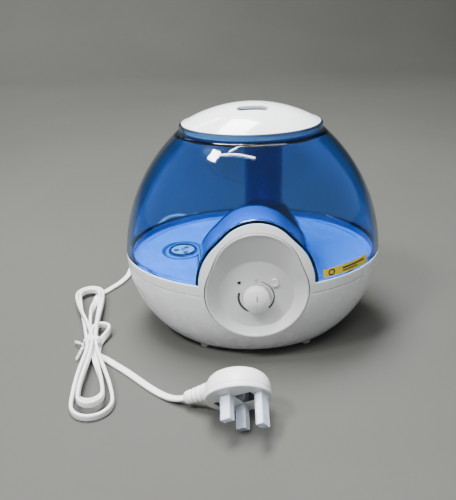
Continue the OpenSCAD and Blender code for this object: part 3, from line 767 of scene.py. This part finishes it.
def make_print():
    """Printed marks round the knob: an arc that grows clockwise, and a plain ring for off."""
    y = DISH_Y - 0.02
    points, faces = [], []

    def band(start, end, w0, w1, steps):
        first = len(points)
        for t in between(0, 1, steps):
            angle = math.radians(start + (end - start) * t)
            half = (w0 + (w1 - w0) * t) / 2
            for r in (MARK_R - half, MARK_R + half):
                points.append((r * math.sin(angle), y, KNOB_Z + r * math.cos(angle)))
        faces.extend(ladder(first, steps))

    band(16, 136, 0.5, 1.6, 48)
    band(205, 288, 1.7, 2.1, 36)
    first = len(points)
    for j in range(33):
        angle = 2 * math.pi * j / 32
        for r in (1.0, 1.4):
            points.append((r * 0.75 * math.cos(angle), y, KNOB_Z + 15.4 + r * math.sin(angle)))
    faces.extend(ladder(first, 32))
    marks = add_mesh("dial_print", points, faces, PRINT)
    thicken(marks, 0.06)
    keep(marks, "base", "dark_parts")


# ---------- tank ----------

def make_dome():
    """Blue outer shell of the tank with its top plate and the collar that holds the lid."""
    seat, top, wall = 78.3, PLATE_Z + 2.4, WALL
    outer = [(dome_r(z), z) for z in between(seat + 0.6, top - 0.5, 96)]
    inner = [(dome_r(z, wall), z) for z in between(80.6, PLATE_Z - 1.5, 90)]
    skirt = [(SKIRT_R - wall, 79.6), (SKIRT_R - wall, 73.6), (SKIRT_R - 0.3, 73.6), (SKIRT_R, 74.0),
             (SKIRT_R, seat)]
    collar = [(60.0, top + 0.1), (60.0, 189.7), (59.5, 190.1), (58.1, 190.1), (57.6, 189.6),
              (57.6, PLATE_Z + 2)]
    profile = [(HUB_R, PLATE_Z), (dome_r(PLATE_Z, wall) - 2.2, PLATE_Z),
               (dome_r(PLATE_Z - 1.5, wall) - 0.3, PLATE_Z - 0.6), *reversed(inner), *skirt,
               (dome_r(seat) - 0.6, seat), *outer, (dome_r(top) - 0.5, top), *collar, (HUB_R, PLATE_Z + 2)]
    dome = lathe("tank_shell", profile, TANK_BLUE, closed=False)
    carve(dome, prism(ARCH, 2.9, FRONT_Y, -44, 300))
    carve(dome, rod((*CHIMNEY, PLATE_Z - 2), UP, CHIMNEY_R + 0.15, 6, steps=96))
    soften(dome, 0.35, angle=50)
    keep(dome, "tank", "tank_blue", "tank_dome")


def hump_form(inset, bottom):
    """Outer form of the mist chamber: blends from the arch back to the chimney's foot, all edges rounded."""
    points = []
    for x, z in egg(ARCH, WALL - inset, 120):
        if z > bottom:
            points += [(x, TUNNEL_Y - 1, z), (x, TUNNEL_Y + 1.2 - inset, z)]
    for sign in (-1, 1):
        x = sign * (ARCH[1][0] + WALL - inset)
        points += [(x, TUNNEL_Y - 1, bottom), (x, TUNNEL_Y + 1.2 - inset, bottom)]
    for cx, cy, r, top in ((8, 2, 38 - inset, 95), (CHIMNEY[0], CHIMNEY[1] + 1, 23 - inset, 116 - inset)):
        for turn in circle(72):
            points.append((cx + r * math.cos(turn), cy + r * math.sin(turn), bottom))
            for bend in between(0, 90, 5):
                reach = r - 5 + 5 * math.cos(math.radians(bend))
                z = top - 5 + 5 * math.sin(math.radians(bend))
                points.append((cx + reach * math.cos(turn), cy + reach * math.sin(turn), z))
    made = bmesh.new()
    for p in points:
        made.verts.new(Vector(p) * MM)
    hull = bmesh.ops.convex_hull(made, input=made.verts)
    inner = [item for item in hull["geom_interior"] if isinstance(item, bmesh.types.BMVert)]
    bmesh.ops.delete(made, geom=inner, context="VERTS")
    mesh = bpy.data.meshes.new("hump")
    made.to_mesh(mesh)
    made.free()
    piece = add_object("hump", mesh)
    clean(piece)
    return piece


def make_floor():
    """Blue floor of the tank in three closed shells: plate, tunnel round the arch, and mist chamber."""
    edge = [(0.5, 0), (0, 0.5), (0, 1.8), (0.4, 2.2), (7, 2.2), (7.6, 2.6), (8.6, 2.6), (9.2, 2.2)]
    profile = [(SKIRT_R - inward, FLOOR_Z + rise) for inward, rise in edge]
    profile = [(HUB_R, FLOOR_Z), *profile, (HUB_R, FLOOR_Z + 2.2)]
    plate = lathe("tank_plate", profile, FLOOR_BLUE, closed=False)
    carve(plate, prism(ARCH, 2.9, FRONT_Y, TUNNEL_Y + 0.5, 300))
    carve(plate, hump_form(-0.1, 60))
    carve(plate, rod((*SUMP, 62.4), UP, 13, 9.8), how="UNION")
    carve(plate, rod((*SUMP, 60), UP, 11, 20))
    soften(plate, 0.4)
    keep(plate, "tank", "tank_blue", "tank_floor")
    front = [(dome_r(z), z) for z in between(SEAM_Z + 0.3, 140, 60)]
    foot = [(HUB_R, FLOOR_Z + 0.2), (SKIRT_R - 0.2, FLOOR_Z + 0.2), (SKIRT_R - 0.2, SEAM_Z + 0.3)]
    tunnel = lathe("block", [*foot, *front, (HUB_R, 140)], None, closed=False)
    carve(tunnel, prism(ARCH, 2.7, FRONT_Y, TUNNEL_Y - 0.2, 300), how="INTERSECT")
    carve(tunnel, prism(ARCH, 0.4, FRONT_Y - 10, TUNNEL_Y + 5, 300))
    tunnel.name = "tank_tunnel"
    paint(tunnel, HUMP_BLUE)
    soften(tunnel, 0.4, angle=50)
    keep(tunnel, "tank", "tank_blue")
    hump = hump_form(0.0, FLOOR_Z + 0.1)
    carve(hump, hump_form(WALL, FLOOR_Z - 5))
    carve(hump, rod((*CHIMNEY, 100), UP, CHIMNEY_R + 0.1, 60, steps=96))
    carve(hump, prism(ARCH, 0.4, FRONT_Y, TUNNEL_Y, 300))
    hump.name = "mist_chamber"
    paint(hump, HUMP_BLUE)
    soften(hump, 0.6, angle=50)
    keep(hump, "tank", "tank_blue")


def make_chimney():
    r, wall, low, high = CHIMNEY_R, 1.8, 115.2, 187.0
    outside = [(r, z) for z in between(low + 2, high - 2, 20)]
    inside = [(r - wall, z) for z in between(high - 2, low + 2, 20)]
    profile = [(r - wall, low + 0.4), (r - wall + 0.4, low), (r - 0.4, low), (r, low + 0.4), *outside,
               (r, high - 0.5), (r - 0.5, high), (r - wall + 0.5, high), (r - wall, high - 0.5), *inside]
    tube = lathe("chimney_tube", profile, CHIMNEY_BLUE, squash=1.0, centre=CHIMNEY, steps=128)
    keep(tube, "tank", "chimney_blue", "mist_chimney")


# ---------- lid ----------

def slot_cutter(low, high):
    length, width, x, y = SLOT
    half = length / 2 - width / 2
    outline = []
    for sign, start in ((1, -90), (-1, 90)):
        for a in between(start, start + 180, 24):
            turn = math.radians(a)
            outline.append((x + sign * half + width / 2 * math.cos(turn), y + width / 2 * math.sin(turn)))
    rings = [[(*place, z) for place in outline] for z in (low, high)]
    points, faces = skin(rings)
    return add_mesh("cutter", points, faces, None)


def make_lid():
    """White crowned lid with the mist slot, and the duct under it that hangs over the chimney."""
    arc = (LID_R ** 2 + LID_RISE ** 2) / (2 * LID_RISE)
    centre = LID_Z + LID_RISE - arc

    def crown(r, inset=0.0):
        return centre + math.sqrt((arc - inset) ** 2 - r * r)

    top = [(r, crown(r)) for r in between(HUB_R, LID_R - 1.2, 60)]
    under = [(r, crown(r, 2.2)) for r in between(LID_R - 4.2, 0.4, 40)]
    profile = [*top, (LID_R - 0.55, crown(LID_R - 1.2) - 0.32), (LID_R - 0.12, LID_Z + 0.45),
               (LID_R - 0.1, LID_Z + 0.15), (LID_R - 0.4, LID_Z), (LID_R - 1.6, LID_Z),
               (LID_R - 1.6, LID_Z - 5), (LID_R - 3.6, LID_Z - 5), (LID_R - 3.6, LID_Z), *under]
    lid = lathe("slotted_lid", profile, LID_WHITE, closed=False, sharp=45)
    duct = rod((*DUCT, PLATE_Z + 2.6), UP, 24, 18, steps=128)
    carve(duct, rod((*DUCT, PLATE_Z), UP, 22.4, 30, steps=128))
    middle = [(r, crown(r, 1.4)) for r in between(LID_R - 3, 0.4, 40)]
    trim = lathe("trim", [(HUB_R, 150), *middle], None, closed=False)
    carve(duct, trim, how="INTERSECT")
    carve(lid, duct, how="UNION", sharp=45)
    carve(lid, slot_cutter(LID_Z, 230), sharp=45)
    soften(lid, 0.7, steps=3, angle=45, sharp=45)
    keep(lid, "top_lid", "lid_white", "lid")


# ---------- strain relief, tie and plug ----------

def make_gland():
    """Tapered strain relief with rings, where the lead leaves the base."""
    start, end = Vector((-46, 56, 21)), Vector((-46, 92, 18))
    length = (end - start).length
    profile = []
    for t in between(0, 1, 144):
        r = 5.2 - 1.2 * t
        groove = 0.0
        if 0.25 < t < 0.93:
            groove = 0.8 * max(0.0, math.sin((t - 0.25) / 0.68 * math.pi * 12)) ** 2
        profile.append((r - groove, t * length))
    profile[0] = (4.2, 0.0)
    profile[-1] = (3.5, length)
    gland = rod(start, end - start, 1.0, length, "strain_relief", CORD_WHITE, 48, profile)
    return keep(gland, "base", "lead_white", "cord_gland")


def make_tie():
    """Flat wire tie: two turns round the bundle, a twist on its left and two short tails."""
    way = Vector((-17, 85, 0)).normalized()
    right = Vector((way.y, -way.x, 0))
    up = Vector((0, 0, 1))
    points, faces = [], []
    section = ((-1, -0.6), (-0.8, -1), (0.8, -1), (1, -0.6), (1, 0.6), (0.8, 1), (-0.8, 1), (-1, 0.6))

    def strip(path, half, thick, closed):
        """A flat strip along path, whose items are a point and the direction of the broad side."""
        first, count = len(points), len(path)
        for i, (point, broad) in enumerate(path):
            after = path[(i + 1) % count][0] if closed or i < count - 1 else point
            before = path[i - 1][0] if closed or i > 0 else point
            out = (after - before).normalized().cross(broad).normalized()
            for a, b in section:
                points.append(tuple(point + broad * (half * a) + out * (thick * b / 2)))
        for i in range(count if closed else count - 1):
            a, b = first + i * 8, first + ((i + 1) % count) * 8
            faces.extend((a + j, a + (j + 1) % 8, b + (j + 1) % 8, b + j) for j in range(8))
        if not closed:
            faces.append(tuple(first + j for j in range(8)))
            faces.append(tuple(first + (count - 1) * 8 + j for j in range(7, -1, -1)))

    for shift, lean in ((-1.3, 0.5), (1.5, -0.4)):
        path = []
        for turn in circle(64):
            across = bulge(math.cos(turn), 0.45) * 7.3
            height = 6.35 + bulge(math.sin(turn), 0.45) * 5.9
            path.append((TIE + way * (shift + lean * math.sin(turn)) + right * across + up * height, way))
        strip(path, 1.3, 0.8, True)
    knot = TIE - right * 8.0 + up * 6.2
    for end, swing in ((Vector((-164, -39.5, 3.2)), 1), (Vector((-157.6, -65.4, 2.2)), -1)):
        path = []
        for t in between(0, 1, 24):
            sag = math.sin(math.pi * t)
            point = knot.lerp(end, t) + up * (1.4 * sag) - right * (swing * 0.9 * sag)
            turn = 0.5 + 5.5 * max(0.0, 0.35 - t) / 0.35
            along = (end - knot).normalized()
            broad = (up * math.cos(turn) + along.cross(up) * math.sin(turn)).normalized()
            path.append((point, broad))
        strip(path, 1.2, 0.7, False)
    tie = add_mesh("bundle_tie", points, faces, TIE_WHITE, sharp=50)
    return keep(tie, "base", "tie_white", "hank_tie")


def plug_frame():
    """Where the plug lies: its pin face is z = 0, and its grip points along -x."""
    a, b, c = (math.radians(v) for v in (121, -26.5, -15))
    turn = Matrix.Rotation(c, 4, "Z") @ Matrix.Rotation(b, 4, "Y") @ Matrix.Rotation(a, 4, "X")
    return Matrix.Translation((-20.8, -147.3, 21.2)) @ turn


def make_plug():
    """Moulded three-pin plug: an oval body with a flat pin face and a domed back, and a ribbed grip."""
    frame_of = plug_frame()

    def placed(points):
        return [tuple(frame_of @ Vector(p)) for p in points]

    face = [(0.30, 0.0), (0.962, 0.0), (0.978, -0.12), (0.992, -0.5), (1.0, -1.2), (1.0, -2.6)]
    seam = [(0.998, -3.0), (0.982, -3.35), (0.982, -3.75), (0.996, -4.1)]
    back = [(0.994, -6), (0.982, -8.5), (0.962, -11), (0.925, -13.2), (0.87, -15.4), (0.79, -17.3),
            (0.68, -18.8), (0.54, -19.6), (0.36, -19.95), (0.2, -20.0)]
    rings = []
    for share, z in face + seam + back:
        shift = 3.0 if z > -14 else 3.0 - (-14 - z) / 6
        rings.append(placed([(shift + 25.4 * share * math.cos(t), 23.6 * share * math.sin(t), z)
                             for t in circle(128)]))
    points, faces = skin(rings)
    body = add_mesh("plug_shell", points, faces, PLUG_WHITE, sharp=50)

    def plug_block(low, high):
        cutter = block(low, high)
        cutter.data.transform(Matrix.Scale(MM, 4) @ frame_of @ Matrix.Scale(1 / MM, 4))
        return cutter

    carve(body, plug_block((3.6, -7, -2.4), (17.2, 7, 3)), sharp=50)
    soften(body, 0.3, angle=60, sharp=50)
    keep(body, "base", "plug_white", "plug_body")
    slot = plug_block((-15.5, -4.5, -0.4), (-11.5, 4.5, 0.25))
    slot.name = "plug_slot"
    paint(slot, BLACK_GLOSS)
    soften(slot, 0.2, angle=60)
    keep(slot, "base", "fuse_black")
    grip = []
    for t in between(0, 1, 110):
        r = 7.6 - 2.6 * t
        for groove in (0.30, 0.50, 0.70):
            r -= 1.0 * math.exp(-((t - groove) / 0.035) ** 2)
        if t > 0.95:
            r -= (t - 0.95) / 0.05 * 0.6
        grip.append((r, 22.0 * t))
    rings = [placed([(-21 - along, r * math.cos(a), -12 + r * math.sin(a)) for a in circle(64)])
             for r, along in grip]
    points, faces = skin(rings)
    sleeve = add_mesh("plug_sleeve", points, faces, PLUG_WHITE, sharp=60)
    keep(sleeve, "base", "plug_white", "plug_grip")
    return body, slot, sleeve


# ---------- small pieces on the tank and panel ----------

def on_wall(x, z, lift):
    """The point at x and height z that lies lift in front of the tank's front wall."""
    r = dome_r(z)
    y = -DEPTH * math.sqrt(max(r * r - x * x, 0.0))
    out = Vector((x, y / DEPTH ** 2, 0)).normalized()
    return (x + out.x * lift, y + out.y * lift, z)


def make_sticker():
    """Plain yellow sticker with a dark ring and two dark bars, laid on the tank's wall."""

    def patch(name, outline, material, lift, rows=8):
        (x0, z0), (x1, z1), (x2, z2), (x3, z3) = outline
        columns, per = 26, rows + 1
        points = []
        for u in between(0, 1, columns):
            for v in between(0, 1, rows):
                x = (x0 * (1 - u) + x1 * u) * (1 - v) + (x3 * (1 - u) + x2 * u) * v
                z = (z0 * (1 - u) + z1 * u) * (1 - v) + (z3 * (1 - u) + z2 * u) * v
                points.append(on_wall(x, z, lift))
        faces = [(i * per + j, (i + 1) * per + j, (i + 1) * per + j + 1, i * per + j + 1)
                 for i in range(columns) for j in range(rows)]
        piece = add_mesh(name, points, faces, material)
        thicken(piece, 0.12)
        keep(piece, "tank", "tank_blue")

    patch("side_sticker", [(53, 88), (93, 88.3), (94.4, 80.1), (54, 80.8)], STICKER, 0.1)
    patch("sticker_bar", [(70, 86), (90, 86.1), (90.3, 84.6), (70.2, 84.5)], PRINT, 0.2, rows=2)
    patch("sticker_bar_low", [(70.3, 83.4), (84, 83.4), (84.2, 82.4), (70.4, 82.4)], PRINT, 0.2, rows=2)
    points = [on_wall(60.5 + r * math.cos(turn), 84.4 + r * math.sin(turn), 0.22)
              for r in (2.9, 1.7) for turn in circle(48)]
    faces = [(j, (j + 1) % 48, 48 + (j + 1) % 48, 48 + j) for j in range(48)]
    mark = add_mesh("sticker_ring", points, faces, PRINT)
    thicken(mark, 0.1)
    keep(mark, "tank", "tank_blue")


def make_button():
    """Round push button with a slightly dished face, and the lamp's lens on the knob's other side."""
    profile = [(0.25, 0.25), (1.2, 0.24), (2.3, 0.16), (2.9, 0.05), (3.1, 0.0), (3.28, 0.05), (3.38, 0.2),
               (3.4, 0.45), (3.4, 4.6), (4.6, 4.6), (4.6, 6.2), (1.8, 6.2), (1.8, 6.8), (0.3, 6.8)]
    button = rod((BUTTON[0], DISH_Y - 1.6, BUTTON[1]), BACK, 1.0, 6.8, "push_button", KNOB_WHITE, 96, profile)
    keep(button, "button", "panel_white", "light_button")
    profile = [(0.2, 0.0), (0.8, 0.06), (1.25, 0.3), (1.48, 0.75), (1.5, 1.2), (1.5, 5.0), (2.6, 5.0),
               (2.6, 9.9), (0.3, 9.9)]
    lens = rod((LED[0], DISH_Y - 0.5, LED[1]), BACK, 1.0, 9.9, "lamp_lens", BLACK_GLOSS, 64, profile)
    keep(lens, "base", "smoked_lens", "power_led")


CAD_LOOKS = {
    "rubber_feet": FOOT_RUBBER, "base_screws": STEEL, "potentiometer": DARK, "pot_shaft": ALUMINIUM,
    "button_switch": DARK, "control_board": BOARD, "fan_housing": DARK, "fan_rotor": DARK,
    "transducer_disc": DISC_BRASS, "transducer_seal": GREY_RUBBER,
    "transducer_clamp": ALUMINIUM, "clamp_screws": STEEL,
    "driver_board": BOARD, "heat_sink": ALUMINIUM, "power_board": BOARD, "transformer": DARK,
    "level_float": ORANGE, "float_clip": KNOB_WHITE, "reed_switch": REED_CLEAR, "tank_cap": CAP_WHITE,
    "cap_gasket": GREY_RUBBER, "valve_plunger": CAP_WHITE, "valve_seal": GREY_RUBBER, "valve_spring": STEEL,
    "earth_pin": PIN_PLATING, "power_pins": PIN_PLATING, "pin_sleeves": SLEEVE_CLEAR,
    "fuse_carrier": BLACK_GLOSS,
}


def dress_cad():
    """Better materials and slightly rounded edges on the CAD nodes that stay."""
    for name, material in CAD_LOOKS.items():
        node = bpy.data.objects[name]
        for place in node.material_slots:
            place.material = material
        add_bevel(node, 0.15, 2, 50)


# ---------- floor and lamps ----------

def make_floor_stage():
    """Plain floor that curves up into a wall behind."""
    material, tree, surface, _ = shader_nodes("studio_floor")
    cloud = noise(tree, 2.2, 4)
    ends = [(0.082, 0.082, 0.075), (0.094, 0.094, 0.087)]
    tree.links.new(ramp(tree, cloud, ends), surface.inputs["Base Color"])
    uneven(tree, surface, noise(tree, 8, 3), 0.8, 0.95)
    surface.inputs["Specular IOR Level"].default_value = 0.15
    bend, start, top = 900, 1300, 4000
    turns = [math.radians(a) for a in between(0, 90, 24)]
    sweep = [(start + bend * math.sin(turn), bend - bend * math.cos(turn)) for turn in turns]
    line = [(-3000, 0), *sweep, (start + bend, top)]
    points = [(x, y, z) for y, z in line for x in (-6000, 6000)]
    add_mesh("studio_floor", points, ladder(0, len(line) - 1), material)


def lamp(name, place, target, size, power):
    """A rectangular area lamp that shines at target."""
    data = bpy.data.lights.new(name, "AREA")
    data.shape = "RECTANGLE"
    data.size, data.size_y = size
    data.energy = power
    light = add_object(name, data)
    way = Vector(target) - Vector(place)
    light.matrix_world = Matrix.Translation(place) @ way.to_track_quat("-Z", "Y").to_matrix().to_4x4()


def make_lamps():
    lamp("key_lamp", (-0.72, -0.56, 1.25), (0.0, 0.0, 0.08), (0.22, 0.18), 20)
    lamp("ceiling_panel", (-0.2, 0.12, 1.25), (0.0, 0.0, 0.1), (0.7, 0.4), 46)
    lamp("backdrop_lamp", (-0.9, 1.1, 1.5), (-0.6, 2.2, 0.5), (1.0, 0.4), 40)
    lamp("ceiling_strip", (0.12, -0.50, 1.25), (0.0, 0.0, 0.1), (1.1, 0.03), 7)
    lamp("second_strip", (-0.25, -0.70, 1.2), (0.0, 0.0, 0.1), (0.7, 0.03), 4)
    world = bpy.data.worlds.new("studio")
    world.use_nodes = True
    world.node_tree.nodes["Background"].inputs["Color"].default_value = (0.9, 0.95, 1.0, 1)
    world.node_tree.nodes["Background"].inputs["Strength"].default_value = 0.32
    bpy.context.scene.world = world


lead, lead_line, lead_length = make_lead()
gland = make_gland()
tie = make_tie()
plug, plug_slot, plug_sleeve = make_plug()
make_lower_shell()
make_arch_wall()
make_upper_ring()
make_panel()
make_knob()
make_print()
make_button()
make_dome()
make_floor()
make_chimney()
make_sticker()
make_lid()
dress_cad()
make_floor_stage()
make_lamps()
